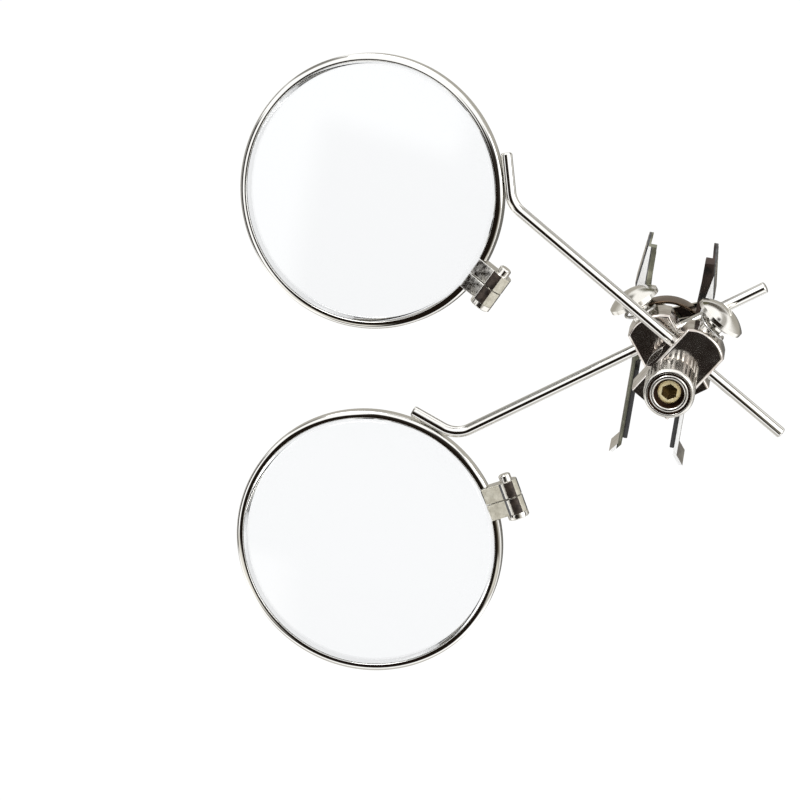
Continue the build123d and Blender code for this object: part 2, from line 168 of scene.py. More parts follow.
def cover(base, tint, mask):
    """Mixes a plain colour over a colour socket, or over another plain colour, by a mask."""
    mix = add(tree, "ShaderNodeMix", data_type="RGBA")
    if isinstance(base, tuple):
        mix.inputs[6].default_value = base
    else:
        tree.links.new(base, mix.inputs[6])
    mix.inputs[7].default_value = tint
    tree.links.new(mask, mix.inputs[0])
    return mix.outputs[2]


ZONES = [
    ("back wall", None, (-0.62, 0.46, 0.08), (0.36, 0.345, 0.31, 1.0)),
    ("low back right", (2.25, 4.0, 0.15), (-0.60, -0.05, 0.10), (0.13, 0.125, 0.115, 1.0)),
    ("dark back right", (2.42, 4.0, 0.10), (0.52, 0.80, 0.05), (0.09, 0.08, 0.065, 1.0)),
    ("dark back left", (-4.0, -2.72, 0.10), (0.52, 0.78, 0.05), (0.09, 0.085, 0.05, 1.0)),
    ("ceiling right", (1.15, 2.35, 0.12), (0.62, 0.80, 0.04), (0.37, 0.36, 0.34, 1.0)),
    ("ceiling left", (-2.35, -0.95, 0.15), (0.40, 0.71, 0.05), (0.20, 0.195, 0.18, 1.0)),
    ("lamp arm", (1.50, 1.78, 0.05), (0.815, 0.89, 0.02), (0.02, 0.015, 0.012, 1.0)),
    ("ground", (-4.0, 4.0, 0.1), (-2.0, -0.80, 0.06), (0.50, 0.49, 0.47, 1.0)),
    ("left door", (-1.72, -1.35, 0.08), (-0.55, 0.4, 0.1), (0.10, 0.095, 0.085, 1.0)),
    ("right door", (1.35, 1.72, 0.08), (-0.55, 0.4, 0.1), (0.10, 0.095, 0.085, 1.0)),
    ("bench", (0.25, 0.85, 0.08), (-0.46, 0.14, 0.04), (0.42, 0.40, 0.37, 1.0)),
    ("left screen", (-1.30, -0.93, 0.05), (-0.46, 0.13, 0.04), (0.022, 0.017, 0.015, 1.0)),
    ("camera side", (-0.68, 0.25, 0.05), (-0.64, 0.14, 0.04), (0.010, 0.007, 0.005, 1.0)),
    ("camera top", (-0.33, 0.21, 0.04), (0.08, 0.35, 0.04), (0.022, 0.018, 0.015, 1.0)),
    ("camera mast", (0.02, 0.36, 0.05), (0.33, 0.50, 0.05), (0.022, 0.018, 0.015, 1.0)),
    ("dark shelf", (0.16, 0.38, 0.05), (-0.22, 0.09, 0.03), (0.08, 0.07, 0.05, 1.0)),
    ("left card", (-0.95, -0.42, 0.06), (-0.52, -0.34, 0.03), (0.72, 0.70, 0.65, 1.0)),
    ("right card", (0.15, 0.55, 0.04), (-0.37, -0.23, 0.03), (0.62, 0.60, 0.54, 1.0)),
]
BACK_WALL = (0.35, 3.0, 0.35)  # the back wall's range is one of Y, not of azimuth
MIRROR_STRENGTH, SOFT_STRENGTH = 1.35, 0.62
WHITE = (1.0, 1.0, 1.0, 1.0)
height = split.outputs["Z"]
azimuth = measure(tree, "ARCTAN2", split.outputs["X"], measure(tree, "MULTIPLY", split.outputs["Y"], -1.0))
room = WHITE
for _, around, rise, tint in ZONES:
    across = band(azimuth, *around) if around else band(split.outputs["Y"], *BACK_WALL)
    room = cover(room, tint, measure(tree, "MULTIPLY", across, band(height, *rise)))
rays = add(tree, "ShaderNodeLightPath")
mirror_light = add(tree, "ShaderNodeBackground", Strength=MIRROR_STRENGTH)
tree.links.new(room, mirror_light.inputs["Color"])
soft_light = add(tree, "ShaderNodeBackground", Color=WHITE, Strength=SOFT_STRENGTH)
white = add(tree, "ShaderNodeBackground", Color=WHITE, Strength=1.0)
first_mix = add(tree, "ShaderNodeMixShader")
tree.links.new(rays.outputs["Is Glossy Ray"], first_mix.inputs[0])
tree.links.new(soft_light.outputs[0], first_mix.inputs[1])
tree.links.new(mirror_light.outputs[0], first_mix.inputs[2])
seen = measure(tree, "MAXIMUM", rays.outputs["Is Camera Ray"], rays.outputs["Is Transmission Ray"])
last_mix = add(tree, "ShaderNodeMixShader")
tree.links.new(seen, last_mix.inputs[0])
tree.links.new(first_mix.outputs[0], last_mix.inputs[1])
tree.links.new(white.outputs[0], last_mix.inputs[2])
tree.links.new(last_mix.outputs[0], add(tree, "ShaderNodeOutputWorld").inputs[0])

# %% [markdown]
# Two soft lamps give the shapes a light side. They are large for their distance, so their
# shadows stay soft.

# %% Lamps
LAMPS = {  # place, diameter and power
    "key": ((-0.28, -0.30, 0.42), 0.30, 1.1),
    "fill": ((0.36, -0.22, 0.20), 0.35, 0.5),
}
for name, (spot, size, power) in LAMPS.items():
    lamp = bpy.data.lights.new(name, "AREA")
    lamp.shape, lamp.size, lamp.energy = "DISK", size, power
    lamp_object = bpy.data.objects.new(name, lamp)
    scene.collection.objects.link(lamp_object)
    toward = np.array(spot) - AIM
    toward /= np.linalg.norm(toward)
    side = np.cross((0.0, 0.0, 1.0), toward)
    side /= np.linalg.norm(side)
    turn = np.eye(4)
    turn[:3, 0], turn[:3, 1], turn[:3, 2], turn[:3, 3] = side, np.cross(toward, side), toward, spot
    lamp_object.matrix_world = Matrix(turn.tolist())

# %% [markdown]
# The floor is a plain white sheet well under the loupe. Part of its light is its own, so it
# photographs white, and the rest is ordinary diffuse paint that still takes a faint shadow.

# %% Floor
FLOOR_DROP, FLOOR_REACH = 34.0 * MM, 3.0
PAINT, GLOW_STRENGTH, GLOW_SHARE = (0.9, 0.9, 0.9, 1.0), 1.12, 0.8
floor_mesh = bpy.data.meshes.new("floor")
floor_corners = [(FLOOR_REACH * x, FLOOR_REACH * y, 0.0) for x, y in ((-1, -1), (1, -1), (1, 1), (-1, 1))]
floor_mesh.from_pydata(floor_corners, [], [(0, 1, 2, 3)])
floor = bpy.data.objects.new("floor", floor_mesh)
scene.collection.objects.link(floor)
floor.location.z = cad_box[0][2] - FLOOR_DROP
floor.visible_glossy = False
paper = bpy.data.materials.new("white_paper")
paper.use_nodes = True
tree = paper.node_tree
tree.nodes.clear()
paint = add(tree, "ShaderNodeBsdfDiffuse", Color=PAINT)
glow = add(tree, "ShaderNodeEmission", Color=WHITE, Strength=GLOW_STRENGTH)
blend_node = add(tree, "ShaderNodeMixShader")
blend_node.inputs[0].default_value = GLOW_SHARE
tree.links.new(paint.outputs[0], blend_node.inputs[1])
tree.links.new(glow.outputs[0], blend_node.inputs[2])
tree.links.new(blend_node.outputs[0], add(tree, "ShaderNodeOutputMaterial").inputs[0])
floor_mesh.materials.append(paper)
floor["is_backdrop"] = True

# %% [markdown]
# ## Finishes
# Two effects come back in nearly every finish, so each is a node group that is built once:
# the marks that polishing leaves, which change roughness and tilt the surface a little, and
# the tone of the plating, which wanders between two close colours.

# %% Shared effects


def new_group(name, inputs, outputs):
    """A shader node group with named number or colour inputs, and its own object coordinates."""
    group = bpy.data.node_groups.new(name, "ShaderNodeTree")
    for label, kind, value in inputs:
        socket = group.interface.new_socket(name=label, in_out="INPUT", socket_type=kind)
        socket.default_value = value
    for label, kind in outputs:
        group.interface.new_socket(name=label, in_out="OUTPUT", socket_type=kind)
    entry, leave = group.nodes.new("NodeGroupInput"), group.nodes.new("NodeGroupOutput")
    coords = group.nodes.new("ShaderNodeTexCoord").outputs["Object"]
    return group, entry.outputs, leave.inputs, coords


def polish_marks():
    """Roughness wanders with a fine noise, and a long thin noise bumps the surface like hairlines."""
    group, given, result, coords = new_group(
        "polish_marks",
        [("Fine", "NodeSocketFloat", 900.0), ("Smooth", "NodeSocketFloat", 0.05),
         ("Rough", "NodeSocketFloat", 0.15), ("Marks", "NodeSocketFloat", 0.1),
         ("Stretch", "NodeSocketVector", (1.0, 1.0, 1.0))],
        [("Roughness", "NodeSocketFloat"), ("Normal", "NodeSocketVector")])
    smudge = add(group, "ShaderNodeTexNoise", Detail=3.0)
    group.links.new(coords, smudge.inputs["Vector"])
    group.links.new(given["Fine"], smudge.inputs["Scale"])
    spread = add(group, "ShaderNodeMapRange")
    spread.inputs["From Min"].default_value, spread.inputs["From Max"].default_value = 0.3, 0.7
    group.links.new(smudge.outputs[0], spread.inputs["Value"])
    group.links.new(given["Smooth"], spread.inputs["To Min"])
    group.links.new(given["Rough"], spread.inputs["To Max"])
    group.links.new(spread.outputs[0], result["Roughness"])
    stretch = add(group, "ShaderNodeMapping")
    group.links.new(coords, stretch.inputs["Vector"])
    group.links.new(given["Stretch"], stretch.inputs["Scale"])
    lines = add(group, "ShaderNodeTexNoise", Scale=4000.0, Detail=2.0)
    group.links.new(stretch.outputs[0], lines.inputs["Vector"])
    bump = add(group, "ShaderNodeBump", Distance=0.00002)
    group.links.new(lines.outputs[0], bump.inputs["Height"])
    group.links.new(given["Marks"], bump.inputs["Strength"])
    group.links.new(bump.outputs[0], result["Normal"])
    return group


def plating_tone():
    """Colour slides from Pale to Deep with a slow noise a few millimetres across."""
    group, given, result, coords = new_group(
        "plating_tone",
        [("Pale", "NodeSocketColor", (0.8, 0.8, 0.8, 1)), ("Deep", "NodeSocketColor", (0.6, 0.6, 0.6, 1)),
         ("Patches", "NodeSocketFloat", 300.0)],
        [("Color", "NodeSocketColor")])
    drift = add(group, "ShaderNodeTexNoise", Detail=2.0)
    group.links.new(coords, drift.inputs["Vector"])
    group.links.new(given["Patches"], drift.inputs["Scale"])
    spread = add(group, "ShaderNodeMapRange")
    spread.inputs["From Min"].default_value, spread.inputs["From Max"].default_value = 0.35, 0.65
    group.links.new(drift.outputs[0], spread.inputs["Value"])
    tint = add(group, "ShaderNodeMix", data_type="RGBA")
    group.links.new(spread.outputs[0], tint.inputs[0])
    group.links.new(given["Pale"], tint.inputs[6])
    group.links.new(given["Deep"], tint.inputs[7])
    group.links.new(tint.outputs[2], result["Color"])
    return group


MARKS, TONE = polish_marks(), plating_tone()

# %% [markdown]
# A finish is then one row: the two close colours, how metallic it is, how smooth and how
# rough it gets, and how strong its marks are. The first rows are the finishes that whole
# pieces have. The others are painted light and shade on parts of a piece: dark recesses, dark and pale
# reflection bands and dark lines.

# %% Metals, rubber


def finish(name, pale, deep, metallic, roughness, marks, fine=900.0, stretch=(1.0,) * 3, patches=300.0):
    """A Principled material whose colour, roughness and normal come from the two groups."""
    material = bpy.data.materials.new(name)
    material.use_nodes = True
    tree = material.node_tree
    shader = tree.nodes["Principled BSDF"]
    shader.inputs["Metallic"].default_value = metallic
    tone = add(tree, "ShaderNodeGroup", node_tree=TONE)
    tone.inputs["Pale"].default_value, tone.inputs["Deep"].default_value = (*pale, 1.0), (*deep, 1.0)
    tone.inputs["Patches"].default_value = patches
    tree.links.new(tone.outputs["Color"], shader.inputs["Base Color"])
    grain = add(tree, "ShaderNodeGroup", node_tree=MARKS)
    smooth, rough = roughness
    values = {"Fine": fine, "Smooth": smooth, "Rough": rough, "Marks": marks, "Stretch": stretch}
    for label, value in values.items():
        grain.inputs[label].default_value = value
    tree.links.new(grain.outputs["Roughness"], shader.inputs["Roughness"])
    tree.links.new(grain.outputs["Normal"], shader.inputs["Normal"])
    return material


ROWS = {
    "nickel_wire": ((0.82, 0.81, 0.78), (0.76, 0.75, 0.72), 1.0, (0.02, 0.05), 0.03, {}),
    "nickel_plate": ((0.80, 0.79, 0.76), (0.70, 0.68, 0.65), 1.0, (0.06, 0.16), 0.08, {"patches": 500.0}),
    "knurled_nickel": ((0.78, 0.76, 0.72), (0.66, 0.64, 0.60), 1.0, (0.16, 0.30), 0.2, {}),
    "bright_steel": ((0.80, 0.78, 0.74), (0.70, 0.68, 0.63), 1.0, (0.10, 0.22), 0.1, {}),
    "spring_steel": ((0.62, 0.61, 0.59), (0.50, 0.49, 0.47), 1.0, (0.12, 0.22), 0.05, {}),
    "brass_stud": ((1.0, 0.90, 0.58), (0.92, 0.72, 0.34), 0.30, (0.18, 0.32), 0.3, {"patches": 1500.0}),
    "bronze_strip": ((0.26, 0.18, 0.12), (0.10, 0.07, 0.05), 1.0, (0.12, 0.26), 0.12,
                     {"stretch": (0.1, 1.0, 1.0)}),
    "pad_rubber": ((0.050, 0.050, 0.052), (0.030, 0.030, 0.032), 0.0, (0.55, 0.75), 0.5, {}),
    "blasted_nickel": ((0.80, 0.79, 0.75), (0.66, 0.64, 0.60), 1.0, (0.12, 0.34), 0.6,
                       {"fine": 2500.0, "patches": 1500.0}),
    "holder_plate": ((0.80, 0.77, 0.73), (0.54, 0.48, 0.44), 0.98, (0.04, 0.13), 0.10,
                     {"fine": 1600.0, "patches": 900.0}),
    "lever_plate": ((0.74, 0.71, 0.66), (0.56, 0.51, 0.45), 0.97, (0.10, 0.22), 0.04, {"patches": 500.0}),
    # From here on each row is painted light or shade: recesses painted dark, reflection bands painted pale
    # or dark, and dark lines.
    "painted_recess_shade": ((0.16, 0.10, 0.07), (0.07, 0.045, 0.035), 1.0, (0.2, 0.4), 0.2, {}),
    "painted_dark_band": ((0.060, 0.044, 0.034), (0.022, 0.016, 0.013), 0.5, (0.28, 0.5), 0.3,
                       {"fine": 1800.0, "patches": 2500.0}),
    "painted_pale_band": ((0.66, 0.63, 0.53), (0.52, 0.49, 0.40), 0.3, (0.35, 0.6), 0.6,
                       {"fine": 2500.0, "patches": 2000.0}),
    "painted_pale_side": ((0.95, 0.95, 0.94), (0.86, 0.86, 0.86), 0.0, (0.30, 0.45), 0.1, {}),
    "painted_olive_band": ((0.24, 0.24, 0.18), (0.15, 0.15, 0.11), 0.5, (0.25, 0.45), 0.1, {"patches": 900.0}),
    "painted_dark_inner_band": ((0.050, 0.032, 0.026), (0.008, 0.007, 0.006), 0.4, (0.25, 0.45), 0.2,
                    {"patches": 700.0}),
    "painted_dark_line": ((0.13, 0.13, 0.135), (0.06, 0.06, 0.062), 0.6, (0.25, 0.45), 0.2, {"patches": 1500.0}),
    "painted_socket_shade": ((0.30, 0.22, 0.10), (0.14, 0.10, 0.05), 1.0, (0.15, 0.3), 0.2, {}),
}
FINISHES = {name: finish(name, *row, **extra) for name, (*row, extra) in ROWS.items()}

# %% [markdown]
# The lenses are clear crown glass with the faintest cold tint. Glass needs no pattern, only
# transmission, but a very slow change of roughness keeps it from looking like nothing at all.

# %% Glass
CLEAR_GLASS = {"Base Color": (0.942, 0.951, 0.959, 1.0), "Metallic": 0.0,
               "Transmission Weight": 1.0, "IOR": 1.5}
GLASS_FILM = {"Fine": 150.0, "Smooth": 0.0, "Rough": 0.012, "Marks": 0.0}
glass = bpy.data.materials.new("lens_glass")
glass.use_nodes = True
tree = glass.node_tree
shader = tree.nodes["Principled BSDF"]
film = add(tree, "ShaderNodeGroup", node_tree=MARKS)
for node, values in ((shader, CLEAR_GLASS), (film, GLASS_FILM)):
    for label, value in values.items():
        node.inputs[label].default_value = value
tree.links.new(film.outputs["Roughness"], shader.inputs["Roughness"])
FINISHES["lens_glass"] = glass

slots = {entry["node"]: entry["material_slot"] for entry in frame["record"]["subparts"]}
for node, piece in frame["nodes"].items():
    piece.data.materials.clear()
    piece.data.materials.append(FINISHES[slots[node]])
print("finishes", len(FINISHES))

# %% [markdown]
# ## Helpers for surfaces
# Every rebuilt surface is a grid of points: one direction runs round a profile or a circle
# and the other runs along a path. A grid becomes a mesh by joining each point to its
# neighbours, which numpy does for the whole grid at once.

# %% Grid to mesh


def body_of(node):
    """The body that a CAD node belongs to."""
    return next(name for name, nodes in frame["record"]["behaviour"]["bodies"].items() if node in nodes)


def settle(piece, node, sharp=35.0, across=None):
    """Smooth faces with creases kept sharp, the node's finish, and the node's body to ride on.
    A spring across a joint is fixed where it stands instead and rides on no body; the bodies and points
    that across gives (body, next body, point on the one, point on the other) are not used."""
    mesh = piece.data
    mesh.shade_smooth()
    mesh.set_sharp_from_angle(angle=math.radians(sharp))
    mesh.materials.clear()
    mesh.materials.append(FINISHES[slots[node]])
    if across:
        start, end = (tuple((np.asarray(point) * MM).tolist()) for point in across[2:])
        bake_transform(piece)
    else:
        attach(piece, body_of(node))
    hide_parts(node)


def skin(name, grid, wrap_path=False, cap_ends=False):
    """Mesh of grid[path, round, xyz]. The round direction always closes on itself. Point
    (i, j) is joined to (i+1, j), (i+1, j+1) and (i, j+1), counted modulo the grid. Points
    that fall together are merged, and an edge that this leaves without a face goes."""
    along, around = grid.shape[:2]
    i = np.arange(along if wrap_path else along - 1)[:, None]
    j = np.arange(around)[None, :]
    corners = [((i + a) % along) * around + (j + b) % around for a, b in ((0, 0), (1, 0), (1, 1), (0, 1))]
    faces = np.stack(np.broadcast_arrays(*corners), axis=-1).reshape(-1, 4).tolist()
    if cap_ends:
        faces.append(list(range(around)))
        faces.append(list(range((along - 1) * around, along * around))[::-1])
    mesh = bpy.data.meshes.new(name)
    mesh.from_pydata(grid.reshape(-1, 3).tolist(), [], faces)
    work = bmesh.new()
    work.from_mesh(mesh)
    bmesh.ops.remove_doubles(work, verts=work.verts, dist=1e-7)
    bmesh.ops.delete(work, geom=[edge for edge in work.edges if edge.is_wire], context="EDGES")
    bmesh.ops.recalc_face_normals(work, faces=work.faces)
    work.to_mesh(mesh)
    work.free()
    piece = bpy.data.objects.new(name, mesh)
    scene.collection.objects.link(piece)
    return piece


def soften(points, radius, steps=4):
    """Rounds a closed profile: each corner becomes the curve (1-t)^2 a + 2t(1-t) corner + t^2 b,
    where a and b lie one radius from the corner along its two sides, or a third of a short side."""
    points = np.asarray(points, float)
    t = np.linspace(0.0, 1.0, steps + 1)[None, :, None]
    ends = []
    for neighbour in (np.roll(points, 1, axis=0), np.roll(points, -1, axis=0)):
        run = neighbour - points
        length = np.linalg.norm(run, axis=1, keepdims=True)
        ends.append(points + run / length * np.minimum(radius, length / 3))
    a, b = (end[:, None, :] for end in ends)
    corner = points[:, None, :]
    return ((1 - t) ** 2 * a + 2 * t * (1 - t) * corner + t**2 * b).reshape(-1, 2)


# %% [markdown]
# Pieces that stand in the folded holders or in the tilted rims are easiest to write in their
# own axes. A placing is an origin and three axes, and it carries local points into the room.
# The numbers for how each arm stands are the ones the CAD was made with.

# %% Where things stand
ARMS = {
    "front": {"wire": -31.7, "offset": 2.7, "reach": 22.58, "length": 34.16, "face": -10.6,
              "bend": 6.1, "lug": -32.9, "turn": 13.7, "nod": 8.8},
    "rear": {"wire": 36.85, "offset": 3.05, "reach": 22.21, "length": 33.71, "face": -7.1,
             "bend": 61.0, "lug": -31.9, "turn": 5.2, "nod": 2.6},
}
FORWARD = np.array([0.0, -1.0, 0.0])
STUD_X, STUD_Z = 1.15, 5.6
STEM_DEPTH, WIRE_RADIUS = 1.8, 0.55
RIM_RADIUS, OPENING = 13.2, 12.5
TOUCH_ANGLE, END_ANGLE = np.radians([10.0, 20.1])


def unit(vector):
    """The vector made one long."""
    return vector / np.linalg.norm(vector)


def holder_axes(arm):
    """Origin on the stud at the holder's face; X along the wire, Y to the button, Z to the front."""
    angle = math.radians(ARMS[arm]["wire"])
    origin = np.array([STUD_X, ARMS[arm]["face"], STUD_Z])
    x = np.array([math.cos(angle), 0.0, math.sin(angle)])
    return origin, x, np.cross(FORWARD, x), FORWARD


def wire_bend(arm):
    """Where the straight run of the wire would meet its bent end."""
    origin, x, y, z = holder_axes(arm)
    return origin - x * ARMS[arm]["reach"] + y * ARMS[arm]["offset"] - z * STEM_DEPTH


def rim_axes(arm):
    """Origin at the lens centre; X towards the wire's bend, Z out of the front of the lens."""
    turn, nod, bend = np.radians([ARMS[arm][key] for key in ("turn", "nod", "bend")])
    z = np.array([-math.sin(turn) * math.cos(nod), -math.cos(turn) * math.cos(nod), math.sin(nod)])
    flat = unit(np.array([1.0, 0.0, 0.0]) - z * z[0])
    x = flat * math.cos(bend) + np.cross(z, flat) * math.sin(bend)
    origin = wire_bend(arm) - x * (RIM_RADIUS + WIRE_RADIUS) / math.cos(TOUCH_ANGLE)
    return origin, x, np.cross(z, x), z


def placed(points, axes):
    """Local points, in millimetres, carried into the room, in metres."""
    origin, x, y, z = axes
    return (origin + points[..., :1] * x + points[..., 1:2] * y + points[..., 2:3] * z) * MM


def turned(profile, angles):
    """Sweeps a profile of (radius, height) round local Z: (r cos a, r sin a, h) for every angle a."""
    r, h = profile[None, :, 0], profile[None, :, 1]
    a = angles[:, None]
    heights = np.broadcast_to(h, (len(angles), len(profile)))
    return np.stack([r * np.cos(a), r * np.sin(a), heights], axis=-1)


# %% [markdown]
# ## Lenses
# A lens of equal crowns is two shallow caps on a thin bevelled edge. Turning a profile gives
# true curves, which matters because glass shows every flat facet. The profile runs from the
# front pole over the bevel to the back pole, and then back along the axis, where the points
# of all angles fall together and are merged.

# %% Lens
CROWN, EDGE, GROOVE, BEVEL = 0.9, 0.4, 0.3, 0.4


def lens_profile(count=48):
    """Cap height over the edge at radius r is sqrt(R^2 - r^2) - sqrt(R^2 - e^2), R from the crown."""
    edge = OPENING - 0.05
    big = (edge**2 + CROWN**2) / (2 * CROWN)
    r = np.linspace(0.0, edge - BEVEL, count)
    cap = EDGE + np.sqrt(big**2 - r**2) - math.sqrt(big**2 - edge**2)
    tip = np.array([[edge + GROOVE, 0.0]])
    front, rear = np.stack([r, cap], axis=1), np.stack([r, -cap], axis=1)[::-1]
    return np.concatenate([front, tip, rear])


full_turn = np.linspace(0.0, 2 * math.pi, 192, endpoint=False)
for arm in ARMS:
    lens_grid = placed(turned(lens_profile(), full_turn), rim_axes(arm))
    lens = skin(f"{arm}_lens_glass", lens_grid, wrap_path=True)
    settle(lens, f"{arm}_lens", sharp=20.0)
    print(arm, "lens faces", len(lens.data.polygons))

# %% [markdown]
# ## Rims
# The rim is drawn wire of a rounded section with a groove inside, bent to a ring and left
# open where the lugs close it. Its section is softened at each corner, because a polished
# corner is what catches the bright lines in the photograph.

# %% Rim
RIM_DEPTH, LUG_SPAN = 1.4, 3.3
WALL, CREST, INNER_ROLL, OUTER_ROLL = 0.7, 0.08, 0.08, 0.25


def rim_profile(count=10):
    """The face rises to its crest on an ellipse quarter of CREST by INNER_ROLL, close to the lens,
    and falls to the outside on one of WALL - CREST by OUTER_ROLL."""
    t = np.linspace(0.0, math.pi / 2, count)
    top = RIM_DEPTH / 2
    inner = np.stack([OPENING + CREST * (1 - np.cos(t)), top - INNER_ROLL * (1 - np.sin(t))], axis=1)
    outer_radius = OPENING + CREST + (WALL - CREST) * np.sin(t)
    outer = np.stack([outer_radius, top - OUTER_ROLL * (1 - np.cos(t))], axis=1)
    face = np.concatenate([inner, outer[1:]])
    groove = np.array([[OPENING, -0.45], [OPENING + 0.35, 0.0], [OPENING, 0.45]])
    return np.concatenate([groove, face, (face * (1, -1))[::-1]])


rim_section = rim_profile()
for arm in ARMS:
    middle, half_gap = math.radians(ARMS[arm]["lug"]), math.asin(LUG_SPAN / 2 / OPENING)
    angles = np.linspace(middle + half_gap, middle + 2 * math.pi - half_gap, 180)
    rim = skin(f"{arm}_rim_ring", placed(turned(rim_section, angles), rim_axes(arm)), cap_ends=True)
    settle(rim, f"{arm}_rim", sharp=50.0)

# %% [markdown]
# ## Arm wires
# A wire is a circle carried along a line. The circle has to keep its roll on the way, so it
# is set across the path with one fixed side direction that is never parallel to the wire.

# %% Wires


def carried(name, path, profile, steady, sizes=1.0):
    """A closed profile (u, v) set across every path point p: p + size (u s + v t), where s is
    heading x steady made one long and t is heading x s. Flat ends close it."""
    heading = np.gradient(path, axis=0)
    heading /= np.linalg.norm(heading, axis=1, keepdims=True)
    side = np.cross(heading, steady)
    side /= np.linalg.norm(side, axis=1, keepdims=True)
    other = np.cross(heading, side)
    u, v = profile[None, :, :1], profile[None, :, 1:]
    ring = u * side[:, None, :] + v * other[:, None, :]
    sizes = np.broadcast_to(sizes, len(path))[:, None, None]
    return skin(name, (path[:, None, :] + ring * sizes) * MM, cap_ends=True)


def circle(radius, sides):
    """Points (r cos a, r sin a) all round."""
    a = np.linspace(0.0, 2 * math.pi, sides, endpoint=False)
    return radius * np.stack([np.cos(a), np.sin(a)], axis=1)


def tube(name, path, radius, steady=(0.05, 1.0, 0.08), sides=40, round_end=0.0):
    """A wire along a path. Its last rings shrink like a quarter circle of round_end."""
    sizes = 1.0
    if round_end:
        left = np.linalg.norm(path[-1] - path, axis=1)
        bite = np.clip(round_end - left, 0.0, round_end)
        sizes = (radius - round_end + np.sqrt(round_end**2 - bite**2)) / radius
    return carried(name, path, circle(radius, sides), steady, sizes)


HOOK_LEG, HOOK_BEND, HOOK_ROUND, TAIL_ROUND = 2.4, 2.8, 0.12, 0.2
LEAD = 0.1  # straight millimetres before and after an arc, which keep its end rings square
for arm in ARMS:
    bend_at, leg = wire_bend(arm), holder_axes(arm)[1]
    _, rim_x, rim_y, _ = rim_axes(arm)
    stub = rim_y * math.cos(TOUCH_ANGLE) - rim_x * math.sin(TOUCH_ANGLE)
    touch = RIM_RADIUS + WIRE_RADIUS
    stub_length = touch * (math.tan(TOUCH_ANGLE) + math.tan(END_ANGLE - TOUCH_ANGLE))
    half_angle = math.acos(np.dot(stub, leg)) / 2
    trim = HOOK_BEND / math.tan(half_angle)
    hub = bend_at + unit(stub + leg) * HOOK_BEND / math.sin(half_angle)
    sweep_angle = np.linspace(0.0, math.pi - 2 * half_angle, 25)[:, None]
    out = unit(bend_at + stub * trim - hub)
    arc = hub + HOOK_BEND * (out * np.cos(sweep_angle) - stub * np.sin(sweep_angle))
    stub_run = np.array([stub_length, stub_length - 0.15, trim + LEAD])[:, None]
    leg_run = np.array([trim + LEAD, HOOK_LEG])[:, None]
    hook_path = np.concatenate([bend_at + stub * stub_run, arc, bend_at + leg * leg_run])
    hook = tube(f"{arm}_hook_wire", hook_path[::-1], WIRE_RADIUS, round_end=HOOK_ROUND)
    settle(hook, f"{arm}_arm_hook")
    length = ARMS[arm]["length"]
    tail = length - TAIL_ROUND * (1 - np.linspace(0.2, 1.0, 5))
    run = np.concatenate([[HOOK_LEG], np.linspace(length / 2, length - TAIL_ROUND, 3), tail])
    rod = tube(f"{arm}_rod_wire", bend_at + leg * run[:, None], WIRE_RADIUS, round_end=TAIL_ROUND)
    settle(rod, f"{arm}_arm_rod")

# %% [markdown]
# ## Button springs and bow
# Both springs are paths with a section carried along them. The coil's steady direction is its
# own axis, which its path never runs along. The bow is a flat strip: an arch between two
# straight legs, with the strip's edges rolled over. Both kinds lie across a joint, and both are
# fixed where they stand.

# %% Springs
COIL_RADIUS, COIL_WIRE, COIL_PITCH, COIL_TURNS = 1.41, 0.165, 0.8, 1.8875
COIL_FOOT, COIL_SHIFT = 6.095, -0.4
for arm in ARMS:
    origin, x, y, z = holder_axes(arm)
    turns = np.linspace(0.0, COIL_TURNS, 121)[:, None]
    a = 2 * math.pi * turns
    middle = origin + x * COIL_SHIFT - z * STEM_DEPTH
    rise = y * (COIL_FOOT + COIL_PITCH * turns)
    coil = middle + x * COIL_RADIUS * np.cos(a) + rise + z * COIL_RADIUS * np.sin(a)
    lead, trail = unit(coil[0] - coil[1]), unit(coil[-1] - coil[-2])
    coil = np.concatenate([[coil[0] + lead * 2 * COIL_WIRE], coil, [coil[-1] + trail * 2 * COIL_WIRE]])
    foot = middle + y * COIL_FOOT
    head = foot + y * COIL_PITCH * COIL_TURNS
    spring = tube(f"{arm}_coil", coil, COIL_WIRE, steady=tuple(y), sides=20)
    settle(spring, f"{arm}_button_spring", across=(f"{arm}_holder", f"{arm}_button", foot, head))

BOW_TOP, BOW_RADIUS, BOW_HALF = 10.4, 4.0, math.radians(36.0)
BOW_FOOT, BOW_SEAT, STRIP_HALF, STRIP_WIDE, STRIP_ROLL = (2.861, 9.265), 2.1, 0.14, 1.0, 0.08
swing = np.linspace(-BOW_HALF, BOW_HALF, 41)
arch_top = BOW_TOP - BOW_RADIUS + BOW_RADIUS * np.cos(swing)
arch = np.stack([BOW_RADIUS * np.sin(swing), 0 * swing, arch_top], axis=1)
bow_path = np.concatenate([[(-BOW_FOOT[0], 0.0, BOW_FOOT[1])], arch, [(BOW_FOOT[0], 0.0, BOW_FOOT[1])]])
strip_corners = [(STRIP_HALF * u, STRIP_WIDE * v) for u, v in ((-1, -1), (1, -1), (1, 1), (-1, 1))]
strip = soften(strip_corners, STRIP_ROLL)
bow = carried("bow_strip", bow_path, strip, (0.0, 1.0, 0.0))
bow_seats = [(side * BOW_SEAT, 0.0, BOW_FOOT[1]) for side in (1.0, -1.0)]
settle(bow, "clip_bow_spring", across=("clip_body", "moving_lever", *bow_seats))

# %% [markdown]
# ## Nut
# The nut is turned and then knurled with straight flutes. Turning gives the profile: bore,
# back, side, rolled front edge, a ring groove, a rounded land and the cup round the stud. The
# flutes are a ripple of the radius that only the outside wall takes.

